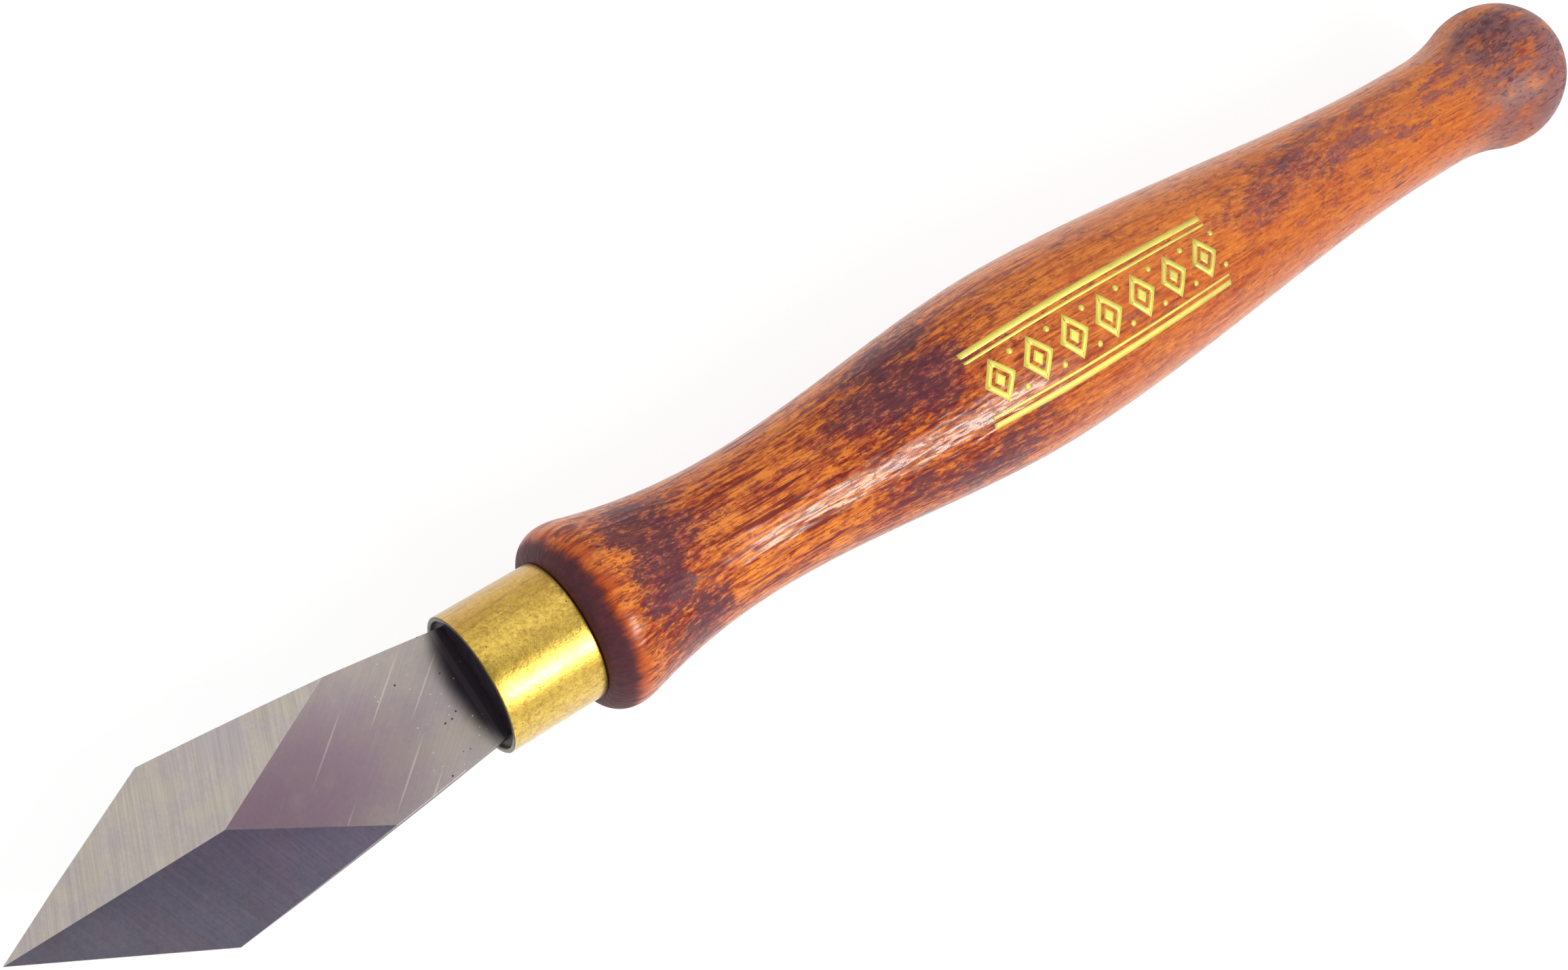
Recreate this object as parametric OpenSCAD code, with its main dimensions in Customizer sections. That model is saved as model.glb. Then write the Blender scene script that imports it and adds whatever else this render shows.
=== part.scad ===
// Marking knife: a spear-point steel blade, a brass ferrule and a turned wooden handle.
// Lengths are in millimetres. X runs from the blade's point to the end of the handle, Y goes
// across the blade and Z goes up. The knife lies flat side down, and the origin is below the
// middle of its length, level with the lowest point of the handle.

/* [Blade] */
// Length of blade that shows in front of the ferrule
blade_reach = 46.8; // [40:0.1:60]
// Distance from the point to the shoulders, where the blade is widest
shoulder_distance = 17.1; // [13:0.1:20]
// Width across the shoulders
shoulder_width = 18.9; // [15:0.1:22]
// Width where the blade enters the ferrule
root_width = 12; // [9:0.1:13]
// Outward bow of each side between the shoulder and the ferrule
side_bow = 0.18; // [0.1:0.01:0.4]
// Thickness of the ground blade
blade_thickness = 3; // [2:0.1:3.6]
// Thickness left at the cutting edges
edge_thickness = 0.05; // [0.03:0.01:0.2]
// Angle of the bevel on the +Y side, in degrees
left_bevel_angle = 16.9; // [13:0.1:24]
// Angle of the bevel on the -Y side, in degrees
right_bevel_angle = 15.4; // [13:0.1:24]
// Turn of the +Y bevel away from its cutting edge, in degrees, as hand grinding leaves it
left_bevel_turn = -1.2; // [-2:0.1:3]
// Turn of the -Y bevel away from its cutting edge, in degrees
right_bevel_turn = 2; // [-2:0.1:3]
// Thickness of the unground root
root_thickness = 3.3; // [3.1:0.1:4]
// Length of unground root that shows in front of the ferrule
root_reach = 1; // [0.6:0.1:3]
// Length of the slope between the ground faces and the root
grind_runout = 0.6; // [0.3:0.1:1.5]

/* [Tang] */
// Length of the tang behind the blade's root
tang_length = 55; // [30:1:80]
// Width of the tang at the root
tang_width = 8; // [6:0.1:10]
// Width of the tang at its end
tang_end_width = 4.5; // [3:0.1:6]
// Gap for resin round the tang's widest corners
bedding_gap = 0.15; // [0.1:0.05:0.5]
// Depth of resin beyond the tang's end
bedding_end_gap = 1.5; // [0.5:0.1:5]

/* [Ferrule] */
// Outer diameter of the ferrule
ferrule_diameter = 15; // [14.4:0.1:15.6]
// Length of the ferrule
ferrule_length = 10.8; // [6:0.1:20]
// Wall of the ferrule
ferrule_wall = 0.5; // [0.4:0.05:0.8]
// Rounding of the ferrule's rims
rim_radius = 0.18; // [0.05:0.01:0.19]
// Gap for glue between the ferrule and the spigot
ferrule_fit = 0.05; // [0.01:0.01:0.15]
// Depth of the wood's end below the ferrule's mouth
mouth_recess = 1.1; // [0.6:0.1:3]
// Depth of the resin below the ferrule's mouth
resin_drop = 0.45; // [0.1:0.05:0.55]

/* [Handle] */
// Length of the handle behind the ferrule
handle_length = 154.4; // [125:0.1:190]
// Diameter of the flat front face that the ferrule butts against
collar_face_diameter = 15.8; // [15.7:0.1:18]
// Distance from that face to the crest of the collar
collar_depth = 2.95; // [2:0.05:5]
// Diameter of the collar's crest
collar_diameter = 20.2; // [18.5:0.1:24]
// Radius of the turn behind the collar's crest
collar_radius = 6.8; // [3:0.1:12]
// Diameter of the waist
waist_diameter = 15.6; // [13:0.1:18]
// Diameter of the belly
belly_diameter = 21.9; // [21:0.1:30]
// Diameter of the neck
neck_diameter = 14.5; // [11:0.1:16.5]
// Diameter of the ball end
ball_diameter = 18.7; // [17.5:0.1:20.9]
// Radius of the hollow between the neck and the ball
ball_cove_radius = 33; // [3:0.5:45]
// Place of the waist, as a share of the handle's length
waist_share = 0.138; // [0.12:0.001:0.2]
// Place of the belly, as a share of the handle's length
belly_share = 0.4035; // [0.3:0.001:0.5]
// Place of the neck, as a share of the handle's length
neck_share = 0.8225; // [0.7:0.001:0.86]

/* [Hidden] */
$fn = 96;
// Facets of the two large circles that bow the blade's sides
side_facets = 1440;
// How far a cut runs past what it cuts
overrun = 2;

// Places along X, measured from the blade's point
mouth_x = blade_reach;
wood_end_x = mouth_x + mouth_recess;
face_x = mouth_x + ferrule_length;
crest_x = face_x + collar_depth;
waist_x = face_x + handle_length * waist_share;
belly_x = face_x + handle_length * belly_share;
neck_x = face_x + handle_length * neck_share;
end_x = face_x + handle_length;
ball_x = end_x - ball_diameter / 2;
tang_end_x = wood_end_x + tang_length;
bore_end_x = tang_end_x + bedding_end_gap;

// Height of the knife's axis above what it lies on
axis_height = max(belly_diameter, collar_diameter, ball_diameter) / 2;

// Blade: direction of the cutting edges, and the circles that bow the sides
edge_angle = atan2(shoulder_width / 2, shoulder_distance);
side_run = wood_end_x - shoulder_distance;
side_drop = (shoulder_width - root_width) / 2;
side_chord = norm([side_run, side_drop]);
side_radius = (pow(side_chord / 2, 2) + pow(side_bow, 2)) / (2 * side_bow);
side_slope = atan2(side_drop, side_run);
side_middle = [(shoulder_distance + wood_end_x) / 2, (shoulder_width + root_width) / 4];
side_centre = side_middle - (side_radius - side_bow) * [sin(side_slope), cos(side_slope)];

// Bores and the spigot
ferrule_bore = ferrule_diameter - 2 * ferrule_wall;
spigot_diameter = ferrule_bore - 2 * ferrule_fit;
tang_bore = norm([tang_width, blade_thickness]) + 2 * bedding_gap;

// Handle: the hollow behind the collar meets the collar's turn smoothly, and so does the
// hollow in front of the ball meet the ball
collar_rise = (collar_diameter - waist_diameter) / 2;
waist_run = waist_x - crest_x;
waist_cove_radius = (pow(waist_run, 2) + pow(collar_rise, 2)) / (2 * collar_rise) - collar_radius;
collar_turn = asin(waist_run / (collar_radius + waist_cove_radius));
ball_cove_r = neck_diameter / 2 + ball_cove_radius;
ball_reach = ball_diameter / 2 + ball_cove_radius;
ball_cove_x = ball_x - sqrt(pow(ball_reach, 2) - pow(ball_cove_r, 2));
ball_turn = asin(ball_cove_r / ball_reach);

// Steps along each curve of the handle
turn_steps = 10;
ball_steps = 36;
swell_steps = 28;

// Share of a rise that is climbed at share u of its run, level at both ends
function ease(u) = u * u * (3 - 2 * u);

// Points of a level-ended rise from one radius to another, without the first point
function swell(x0, r0, x1, r1) = [
    for (i = [1 : swell_steps])
        let (u = i / swell_steps)
        [r0 + (r1 - r0) * ease(u), x0 + (x1 - x0) * u]
];

// Points of an arc in the plane of radius and length; angles are measured from +X
function arc(x, r, radius, from, to, steps) = [
    for (i = [0 : steps])
        let (a = from + (to - from) * i / steps)
        [r + radius * sin(a), x + radius * cos(a)]
];

// Quarter of an ellipse from the collar's front face up to its crest
function collar_front() = [
    for (i = [0 : turn_steps])
        let (a = 90 * i / turn_steps)
        [
            (collar_face_diameter + (collar_diameter - collar_face_diameter) * sin(a)) / 2,
            face_x + collar_depth * (1 - cos(a))
        ]
];

handle_profile = concat(
    [[0, wood_end_x], [spigot_diameter / 2, wood_end_x], [spigot_diameter / 2, face_x]],
    collar_front(),
    arc(crest_x, collar_diameter / 2 - collar_radius, collar_radius, 90, 90 - collar_turn, turn_steps),
    arc(waist_x, waist_diameter / 2 + waist_cove_radius, waist_cove_radius,
        270 - collar_turn, 270, swell_steps),
    swell(waist_x, waist_diameter / 2, belly_x, belly_diameter / 2),
    swell(belly_x, belly_diameter / 2, neck_x, neck_diameter / 2),
    arc(ball_cove_x, ball_cove_r, ball_cove_radius, 270, 360 - ball_turn, turn_steps),
    arc(ball_x, 0, ball_diameter / 2, 180 - ball_turn, 0, ball_steps)
);

// Puts a shape drawn from the blade's point, on the knife's axis, into the part's frame
module place() {
    translate([-end_x / 2, 0, axis_height]) children();
}

// Turns a profile of radius and length round the knife's axis
module turned() {
    rotate([0, 90, 0]) rotate_extrude() children();
}

// Cylinder on the knife's axis between two places along X
module rod(from_x, to_x, diameter) {
    translate([from_x, 0, 0]) rotate([0, 90, 0]) cylinder(d = diameter, h = to_x - from_x);
}

// The blade seen from above, back to the wood's end
module blade_outline() {
    reach = wood_end_x / shoulder_distance;
    intersection() {
        polygon([
            [0, 0],
            [wood_end_x, reach * shoulder_width / 2],
            [wood_end_x, -reach * shoulder_width / 2]
        ]);
        translate([side_centre[0], side_centre[1]]) circle(r = side_radius, $fn = side_facets);
        translate([side_centre[0], -side_centre[1]]) circle(r = side_radius, $fn = side_facets);
    }
}

// The blade seen from the side: the ground part, the slope and the thicker root
module blade_side() {
    ground_end_x = mouth_x - root_reach;
    slope_end_x = ground_end_x + grind_runout;
    polygon([
        [0, -blade_thickness / 2],
        [ground_end_x, -blade_thickness / 2],
        [slope_end_x, -root_thickness / 2],
        [wood_end_x, -root_thickness / 2],
        [wood_end_x, root_thickness / 2],
        [slope_end_x, root_thickness / 2],
        [ground_end_x, blade_thickness / 2],
        [0, blade_thickness / 2]
    ]);
}

// Everything above a bevel that rises from the cutting edge on the +Y side
module bevel_cut(bevel_angle, bevel_turn) {
    cut_length = 2 * wood_end_x;
    translate([0, 0, edge_thickness - blade_thickness / 2])
        rotate([0, 0, edge_angle + bevel_turn])
            rotate([-bevel_angle, 0, 0])
                translate([-overrun - wood_end_x / 2, -shoulder_width * 2, 0])
                    cube([cut_length, shoulder_width * 3, shoulder_width]);
}

// The tang, which narrows toward its end
module tang() {
    translate([0, 0, -blade_thickness / 2])
        linear_extrude(height = blade_thickness)
            polygon([
                [wood_end_x, -tang_width / 2],
                [tang_end_x, -tang_end_width / 2],
                [tang_end_x, tang_end_width / 2],
                [wood_end_x, tang_width / 2]
            ]);
}

module blade_solid() {
    difference() {
        intersection() {
            translate([0, 0, -root_thickness])
                linear_extrude(height = 2 * root_thickness) blade_outline();
            translate([0, shoulder_width, 0])
                rotate([90, 0, 0])
                    linear_extrude(height = 2 * shoulder_width) blade_side();
        }
        bevel_cut(left_bevel_angle, left_bevel_turn);
        mirror([0, 1, 0]) bevel_cut(right_bevel_angle, right_bevel_turn);
    }
    tang();
}

module blade() {
    color([0.60, 0.58, 0.60]) place() blade_solid();
}

// Section of the ferrule's wall with rounded rims
module ferrule_section() {
    inner = ferrule_bore / 2;
    translate([inner, mouth_x + rim_radius])
        square([ferrule_wall, ferrule_length - 2 * rim_radius]);
    translate([inner + rim_radius, mouth_x])
        square([ferrule_wall - 2 * rim_radius, ferrule_length]);
    for (r = [inner + rim_radius, inner + ferrule_wall - rim_radius])
        for (x = [mouth_x + rim_radius, face_x - rim_radius])
            translate([r, x]) circle(r = rim_radius);
}

module ferrule() {
    color([0.80, 0.62, 0.22]) place() turned() ferrule_section();
}

module handle() {
    color([0.62, 0.27, 0.10]) place() difference() {
        turned() polygon(handle_profile);
        rod(wood_end_x - overrun, bore_end_x, tang_bore);
    }
}

// Resin in the bore, and a disc of it in the ferrule's mouth
module tang_bedding() {
    color([0.10, 0.07, 0.09]) place() difference() {
        union() {
            rod(wood_end_x, bore_end_x, tang_bore);
            rod(mouth_x + resin_drop, wood_end_x, ferrule_bore);
        }
        blade_solid();
    }
}

blade();
ferrule();
handle();
tang_bedding();
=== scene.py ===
import math

import bmesh
import bpy
from mathutils import Matrix, Vector


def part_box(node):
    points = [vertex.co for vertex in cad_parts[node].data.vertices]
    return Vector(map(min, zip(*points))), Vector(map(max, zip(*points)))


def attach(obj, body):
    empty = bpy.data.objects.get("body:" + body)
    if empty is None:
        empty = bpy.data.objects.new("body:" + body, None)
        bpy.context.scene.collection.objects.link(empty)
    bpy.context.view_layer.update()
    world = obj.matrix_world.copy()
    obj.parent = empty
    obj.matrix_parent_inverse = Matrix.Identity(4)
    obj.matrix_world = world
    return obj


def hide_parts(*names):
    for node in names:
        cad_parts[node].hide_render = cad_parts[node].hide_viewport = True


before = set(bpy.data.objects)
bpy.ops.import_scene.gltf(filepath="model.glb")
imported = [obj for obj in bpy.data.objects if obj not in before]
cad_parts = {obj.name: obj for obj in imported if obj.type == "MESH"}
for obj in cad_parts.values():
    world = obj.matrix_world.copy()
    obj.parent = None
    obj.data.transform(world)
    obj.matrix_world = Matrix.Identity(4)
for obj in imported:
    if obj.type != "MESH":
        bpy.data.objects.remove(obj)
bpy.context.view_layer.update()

bl_info = {
    "name": "Marking Knife",
    "version": (1, 0, 0),
    "blender": (4, 5, 0),
    "location": "3D View > Sidebar > Marking Knife",
    "description": "Dresses the marking knife with turned, ground and lacquered surfaces",
    "category": "Add Mesh",
}

MM = 0.001
PER_METRE = 1000

# Zones of the finishes, in mm from the blade's point: where each begins, and where it is full
FRONT_ZONE = (130, 98)
REAR_ZONE = (140, 160)
WAIST_START = (69, 76)
WAIST_END = (93, 84)
CREST_ZONE = (67.0, 65.0)
# The collar's dark rim and front face: stain with painted shade
RIM_ZONE = (61.9, 60.8)
FACE_ZONE = (61.35, 60.35)
BALL_ZONE = (190, 201)
# Where the foil's painted shade starts and is full
FOIL_SHADE_ZONE = (112, 146)

# Patches, in mm from the blade's point and the axis: middle, reach and, for the stains, strength
STAINS = (
    ((67.2, 3, 7.5), (8, 9, 8), 1.05),
    ((65.6, -1.5, 8.5), (5.5, 7, 6), 0.95),
    ((98.5, 2.6, 9), (14, 7.5, 7), 1),
    ((101, 7, 7), (12, 6, 6), 0.75),
    ((103, -8.5, 6), (20, 4.5, 6), 0.70),
    ((69.5, -7, 4), (7.5, 6, 6), 0.70),
    ((120, 5.5, 9.5), (16, 5, 6), 0.20),
    ((160, 2, 8.5), (32, 7, 6), 0.55),
    ((199, 3, 8), (10, 9.5, 8), 0.72),
    ((206, -5, 6), (9, 8, 8), 0.70),
)
REAR_BAND = ((178.0, 2.0, 8.5), (45.0, 8.5, 7.0))
BALL_SPOT = ((203, -7, 4), (8, 7, 9))
# The flat's purplish tint is a painted reflection
FLAT_REFLECTION_TINT = ((26, -1, 1), (24, 16, 6))

# Layers of flecks: size in mm, pace along the grain, lowest level, seed
FLECKS = ((1.1, 0.45, 0.63, 14), (0.62, 0.38, 0.61, 15), (0.42, 0.36, 0.60, 16))

# How far each step of its seed moves a pattern, in sizes of the pattern
NOISE_SHIFT = (7.31, 3.77, 5.13)
SPECK_SHIFT = (4.31, 6.77, 2.13)

# Steps along the turned outlines, and the points that keep their corners crisp
FRONT_STEPS, COLLAR_STEPS, WAIST_STEPS, BELLY_STEPS = 18, 14, 22, 44
NECK_STEPS, COVE_STEPS, BALL_STEPS = 60, 12, 44
RIM_STEPS, TUBE_STEPS = 8, 12
HEM = 0.2 * MM
BORE_RING_SHARE = 0.9

# Points closer than this, in metres, are one: in a mesh, and along a turned shape's seam
WELD = 1e-7
SEAM_WELD = 0.5e-6

# The blade: angles that count as flat, sharp and smooth, the least area in square metres that is eased,
# the bevels' tilt in degrees, and how much a side may face up
FLAT_ANGLE, SHARP_ANGLE, SMOOTH_ANGLE = math.radians(0.05), math.radians(9), math.radians(6)
SMALL_FACE = 1.6e-6
BEVEL_TILT = (8, 24)
UPRIGHT = 0.5

# The foil's motif, as shares of one repeat, of the band's width and of the lozenge
LOZENGE_LENGTH_SHARE, LOZENGE_WIDTH_SHARE = 0.40, 0.30
LOZENGE_HOLE_SHARE, LOZENGE_CORE_SHARE = 0.59, 0.35
DOT_PLACE_SHARE = 0.80
DOT_RADIUS = 0.36 * MM
DOT_CORNERS = 12

# The foil's lines: place as a share of the band's width, width as a share of the line's
FOIL_LINES = ((0.5, 1.0), (-0.5, 1.0), (0.39, 0.45), (-0.39, 0.45))
STRIP_POINTS = 90

# Rays that find the wood under the foil, in metres: start from the axis, and length
RAY_START, RAY_LENGTH = 0.03, 0.05

# Lamps: direction from the camera's aim, then width and height in metres
KEY_LAMP = ((0.33, -0.70, 0.62), (0.25, 0.19))
SIDE_LAMP = ((0.33, -0.53, 0.76), (0.25, 0.20))
LAMP_DISTANCE = 1.0
LAMP_TINT = (0.93, 0.98, 0.90)

# The floor: half its side in metres, cells a side, and its shade and own light where it is seen
FLOOR_REACH, FLOOR_CELLS = 3.0, 12
FLOOR_SHADE, FLOOR_LIGHT = 0.30, 0.80

# Outer and inner edges of the surround's lighter side and ceiling, in degrees from their middles
GLOW_EDGES = (44, 12)
CEILING_EDGES = (31, 20)

# The camera: sensor in millimetres, nearest and farthest distance in metres
SENSOR_WIDTH = 36
CAMERA_CLIP = (0.01, 20)


def number(name, description, default, **kind):
    return bpy.props.FloatProperty(name=name, description=description, default=default, **kind)


def length(name, description, default):
    """A length, given in millimetres."""
    return number(
        name, description, default * MM, min=0, precision=5, unit="LENGTH", subtype="DISTANCE",
    )


def angle(name, description, default):
    """An angle, given in degrees."""
    return number(name, description, math.radians(default), subtype="ANGLE")


def count(name, description, default, least, most):
    return bpy.props.IntProperty(
        name=name, description=description, default=default, min=least, max=most,
    )


def values(name, description, default, **kind):
    return bpy.props.FloatVectorProperty(
        name=name, description=description, default=default, size=len(default), **kind,
    )


def point(name, description, default):
    return values(name, description, default, unit="LENGTH", subtype="TRANSLATION")


def direction(name, description, default):
    return values(name, description, default, subtype="XYZ")


def colour(name, description, *shown):
    """A colour, given as it shows on a screen, 0 to 255 a channel, and kept as linear values."""
    def linear(value):
        value = value / 255
        return value / 12.92 if value <= 0.04045 else ((value + 0.055) / 1.055) ** 2.4

    shade = tuple(linear(value) for value in shown)
    return values(name, description, shade, min=0, max=1, subtype="COLOR")


class KnifeHandle(bpy.types.PropertyGroup):
    """Sizes of the turned handle, measured along the knife from the blade's point."""

    wood_end: length("Spigot end", "Where the spigot starts inside the ferrule", 47.9)
    face: length("Handle face", "Where the wood meets the ferrule's rear rim", 57.6)
    end: length("Handle end", "Where the ball ends", 212.0)
    spigot_diameter: length("Spigot", "Diameter inside the ferrule", 13.9)
    bore_diameter: length("Bore", "Diameter of the hole for the tang", 8.844)
    bore_end: length("Bore end", "Where the hole for the tang stops", 104.4)
    collar_face_diameter: length("Collar face", "Diameter where the collar leaves the face", 15.8)
    collar_depth: length("Collar depth", "Length of the collar's rounded front", 2.95)
    collar_diameter: length("Collar", "Diameter of the collar's crest", 20.2)
    collar_radius: length("Collar round", "Radius of the crest along the handle", 6.8)
    waist: length("Waist place", "Where the waist is thinnest", 78.9053)
    waist_diameter: length("Waist", "Diameter of the waist", 15.6)
    belly: length("Belly place", "Where the belly is thickest", 119.9038)
    belly_diameter: length("Belly", "Diameter of the belly", 21.9)
    neck: length("Neck place", "Where the belly runs out into the neck", 184.5935)
    neck_diameter: length("Neck", "Diameter of the neck", 14.5)
    ball_diameter: length("Ball", "Diameter of the ball end", 18.7)
    ball_cove: length("Ball cove", "Radius of the hollow between neck and ball", 33.0)
    film: length("Lacquer step", "How far the wood lies inside the sizes above", 0.03)
    rounds: count("Steps round", "Faces round the handle", 176, 16, 360)


class KnifeFerrule(bpy.types.PropertyGroup):
    """Sizes of the brass ferrule."""

    mouth: length("Mouth", "Where the ferrule starts, from the blade's point", 46.8)
    rear: length("Rear", "Where the ferrule ends against the wood", 57.6)
    diameter: length("Diameter", "Outside diameter", 15.0)
    wall: length("Wall", "Thickness of the tube", 0.5)
    rim: length("Rim round", "Radius that rounds the rims", 0.18)
    rounds: count("Steps round", "Faces round the tube", 160, 16, 360)


class KnifeBlade(bpy.types.PropertyGroup):
    """Finish of the ground blade."""

    edge_break: length("Edge break", "How far the ground edges are eased", 0.05)
    bevel_lines: angle("Bevel lines", "Direction of the grinding lines on the bevels", 71)
    flat_lines: angle("Flat lines", "Direction of the scratches on the flats", 40)


class KnifeFoil(bpy.types.PropertyGroup):
    """Sizes of the gold foil band of lozenges on the belly."""

    start: length("Start", "Where the band starts, from the blade's point", 106.2)
    span: length("Length", "Length of the band along the handle", 36.4)
    width: length("Width", "Width of the band round the handle", 9.2)
    line: length("Line", "Width of the lines along the band", 0.75)
    lift: length("Lift", "How far the foil's face stands above the wood", 0.018)
    thickness: length("Thickness", "Thickness of the foil with its lacquer", 0.03)
    repeats: count("Lozenges", "How many lozenges the band has", 7, 1, 60)
    turn: angle("Turn", "Turn of the band round the handle, from the top", -12)


class KnifeColours(bpy.types.PropertyGroup):
    """Colours of the surfaces."""

    wood_deep: colour("Wood deep", "Darkest streaks", 112, 20, 14)
    wood_dark: colour("Wood dark", "Dark red streaks", 148, 48, 18)
    wood_red: colour("Wood red", "Red-brown grain", 182, 80, 28)
    wood_mid: colour("Wood middle", "Orange-brown grain", 206, 107, 36)
    wood_light: colour("Wood light", "Lightest streaks", 236, 134, 48)
    wood_ball: colour("Wood ball", "Duller stain of the ball end", 126, 88, 92)
    wood_crest: colour("Wood crest", "Burnt orange of the crest", 202, 86, 24)
    fleck: colour("Fleck", "Pores that took the stain", 80, 28, 46)
    stain: colour("Stain", "Clouds of dark stain", 108, 62, 82)
    # Dark stain of the collar's front, deepened by painted shade
    collar_face: colour("Collar face", "Dark front of the collar", 64, 28, 44)
    brass: colour("Brass", "Worn satin brass", 242, 206, 90)
    brass_dull: colour("Brass dull", "Duller patches of the brass", 208, 164, 62)
    brass_brown: colour("Brass brown", "Fine brown speckle", 160, 116, 40)
    # Pits, and the painted shade with some tarnish on the rims
    brass_dark: colour("Brass dark", "Pits and the tarnished rims", 58, 46, 42)
    steel: colour("Steel", "Ground steel", 208, 199, 190)
    steel_warm: colour("Steel warm", "Yellowish grain", 214, 204, 180)
    steel_cool: colour("Steel cool", "Lilac grain", 186, 172, 192)
    # Painted light on the blade: the flat's purplish tint and the -Y bevel's slate are painted reflection,
    # and steel_shade also deepens the +Y bevel as painted shade
    steel_tint: colour("Steel tint", "Purplish tint behind the point", 160, 128, 150)
    steel_slate: colour("Steel slate", "Slate tint of the darker bevel", 130, 127, 156)
    steel_shade: colour("Steel shade", "Bottom of the grinding lines", 132, 122, 124)
    steel_glint: colour("Steel glint", "Bright scratches and specks", 250, 246, 238)
    steel_dark: colour("Steel dark", "Shade at the blade's root", 58, 50, 62)
    resin: colour("Resin", "Bedding in the ferrule's mouth", 46, 38, 50)
    foil: colour("Foil", "Gold foil", 246, 232, 110)
    # Rubbed foil, and the foil's painted shade toward the rear
    foil_rubbed_and_shaded: colour("Foil dull", "Rubbed foil", 206, 184, 92)
    floor: colour("Floor", "Pale floor", 235, 235, 235)


class KnifeStage(bpy.types.PropertyGroup):
    """Camera, lamps and floor."""

    camera_place: point("Camera place", "Where the camera stands", (-0.109987, -0.023732, 0.203674))
    camera_aim: point("Camera aim", "The point the camera looks at", (-0.011346, -0.004144, 0.01095))
    camera_roll: angle("Camera roll", "Roll of the camera round its line of sight", -46.01)
    lens: number("Lens", "Focal length in millimetres on a 36 mm sensor", 47.177, min=0)
    shift: values("Shift", "Lens shift that frames the photograph", (-0.05862, 0.002654))
    surround: number("Surround", "Level of the even light all round", 0.78, min=0)
    ceiling: number("Ceiling", "Level of the dark ceiling", 0.10, min=0)
    ceiling_place: direction("Ceiling place", "Direction of the ceiling's middle", (-0.15, -0.15, 0.97))
    glow: number("Glow", "Gain on the surround's lighter side", 0.32, min=0)
    glow_place: direction("Glow place", "Direction of the surround's lighter side", (0.45, 0.14, 0.88))
    key_level: number("Key lamp", "Radiance of the key lamp", 31.0, min=0)
    side_level: number("Side lamp", "Radiance of the weaker lamp", 7.0, min=0)


class KnifeSettings(bpy.types.PropertyGroup):
    """All settings of the marking knife."""

    handle: bpy.props.PointerProperty(type=KnifeHandle, name="Handle")
    ferrule: bpy.props.PointerProperty(type=KnifeFerrule, name="Ferrule")
    blade: bpy.props.PointerProperty(type=KnifeBlade, name="Blade")
    foil: bpy.props.PointerProperty(type=KnifeFoil, name="Foil")
    colours: bpy.props.PointerProperty(type=KnifeColours, name="Colours")
    stage: bpy.props.PointerProperty(type=KnifeStage, name="Stage")


# Node trees


class Tree:
    """Adds nodes to a node tree and joins them."""

    def __init__(self, tree):
        self.tree = tree

    def add(self, kind, inputs=(), **settings):
        node = self.tree.nodes.new(kind)
        for name, value in settings.items():
            setattr(node, name, value)
        for key, value in dict(inputs).items():
            self.feed(node.inputs[key], value)
        return node

    def out(self, kind, inputs=(), **settings):
        """Adds a node and returns its first output."""
        return self.add(kind, inputs, **settings).outputs[0]

    def feed(self, socket, value):
        if isinstance(value, bpy.types.NodeSocket):
            self.tree.links.new(value, socket)
        else:
            socket.default_value = value

    def math(self, operation, a, b=0.0, clamp=False):
        return self.out("ShaderNodeMath", {0: a, 1: b}, operation=operation, use_clamp=clamp)

    def plus(self, a, b):
        return self.math("ADD", a, b)

    def times(self, a, b):
        return self.math("MULTIPLY", a, b)

    def without(self, value):
        """One less the value, so 1 where the value is 0."""
        return self.math("SUBTRACT", 1.0, value)

    def larger(self, first, *others):
        """The largest of the values at each point."""
        for other in others:
            first = self.math("MAXIMUM", first, other)
        return first

    def between(self, value, low, high, out_low=0.0, out_high=1.0):
        """Eases from one output to the other as the value goes from low to high."""
        inputs = {0: value, 1: low, 2: high, 3: out_low, 4: out_high}
        return self.out("ShaderNodeMapRange", inputs, interpolation_type="SMOOTHSTEP")

    def vector(self, operation, a, b=(0, 0, 0)):
        node = self.add("ShaderNodeVectorMath", {0: a, 1: b}, operation=operation)
        scalar = operation in ("LENGTH", "DOT_PRODUCT")
        return node.outputs[1 if scalar else 0]

    def parts(self, vector):
        return self.add("ShaderNodeSeparateXYZ", {0: vector}).outputs

    def joined(self, x, y, z):
        return self.out("ShaderNodeCombineXYZ", {0: x, 1: y, 2: z})

    def deliver(self, label, geometry, material):
        """Shades the geometry smooth, gives it its material and makes it the tree's output."""
        smooth = self.out("GeometryNodeSetShadeSmooth", {"Geometry": geometry, "Shade Smooth": True})
        clad = self.out("GeometryNodeSetMaterial", {"Geometry": smooth, "Material": material})
        self.add("NodeGroupOutput", {label: clad})


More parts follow.
